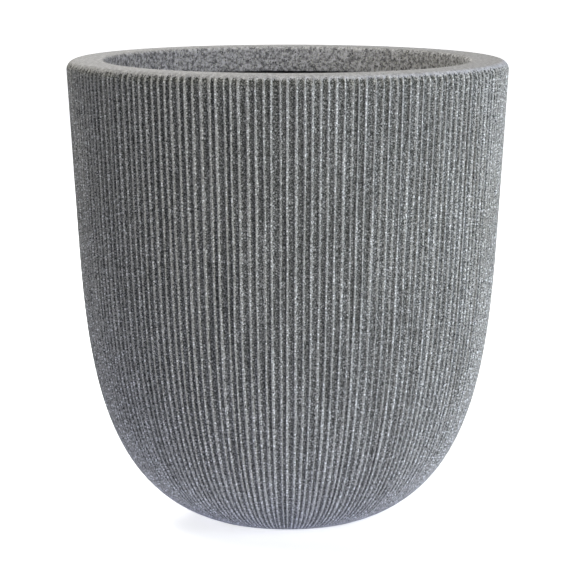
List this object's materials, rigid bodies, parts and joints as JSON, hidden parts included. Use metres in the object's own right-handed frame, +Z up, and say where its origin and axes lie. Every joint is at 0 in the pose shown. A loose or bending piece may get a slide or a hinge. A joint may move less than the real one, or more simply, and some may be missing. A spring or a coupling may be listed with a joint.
{
  "type": "flower pot",
  "caption": "Tall round-bottomed planter with a ribbed stone-effect outside, a rolled rim, pull-out drain plugs and rubber feet.",
  "frame": {"origin": "on the ground, under the middle of the pot", "axes": "+Z up along the pot's axis; one drain plug lies along +X from the axis, and the feet lie on the diagonals"},
  "size_m": [0.4, 0.4, 0.422],
  "materials": {
    "stone_effect_plastic": "matt, speckled, light on the ribs and dark in the grooves",
    "plug_rubber": "satin",
    "foot_rubber": "matt"
  },
  "bodies": {
    "pot": {"pot_shell": "stone_effect_plastic", "foot_pad_1": "foot_rubber", "foot_pad_2": "foot_rubber", "foot_pad_3": "foot_rubber", "foot_pad_4": "foot_rubber"},
    "drain_plug_1": {"drain_plug_1": "plug_rubber"},
    "drain_plug_2": {"drain_plug_2": "plug_rubber"},
    "drain_plug_3": {"drain_plug_3": "plug_rubber"},
    "drain_plug_4": {"drain_plug_4": "plug_rubber"}
  },
  "joints": [
    {"name": "lift_drain_plug_1", "type": "slide", "parent": "pot", "child": "drain_plug_1", "axis": [0, 0, 1], "range_m": [0, 0.45]},
    {"name": "lift_drain_plug_2", "type": "slide", "parent": "pot", "child": "drain_plug_2", "axis": [0, 0, 1], "range_m": [0, 0.45]},
    {"name": "lift_drain_plug_3", "type": "slide", "parent": "pot", "child": "drain_plug_3", "axis": [0, 0, 1], "range_m": [0, 0.45]},
    {"name": "lift_drain_plug_4", "type": "slide", "parent": "pot", "child": "drain_plug_4", "axis": [0, 0, 1], "range_m": [0, 0.45]}
  ]
}
